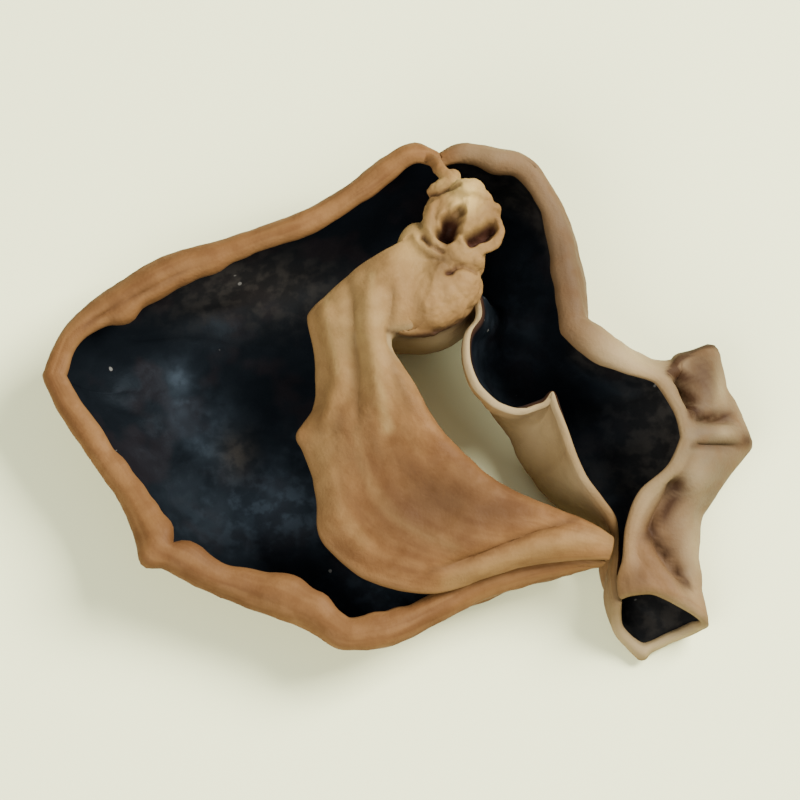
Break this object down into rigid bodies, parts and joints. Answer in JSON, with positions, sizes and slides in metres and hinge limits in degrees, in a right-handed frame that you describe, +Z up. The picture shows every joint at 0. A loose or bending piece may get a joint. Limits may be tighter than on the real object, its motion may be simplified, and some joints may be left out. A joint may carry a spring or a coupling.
{
  "type": "wood ear mushroom",
  "caption": "Dried wood ear mushroom: one curled sheet with rolled rims, a folded flap, a torn foot, a see-through gap and an open-ended tube.",
  "frame": {"origin": "centre of the bounding box's bottom face, on the surface that the ear lies on", "axes": "+X along the ear's length towards the narrow lobe, +Y towards the side where the foot is, +Z up"},
  "size_m": [0.0774, 0.056, 0.0221],
  "materials": {
    "sheet": "dry and dull tan outside, darker and satin inside"
  },
  "bodies": {
    "root": {"wood_ear": "sheet"}
  },
  "joints": []
}
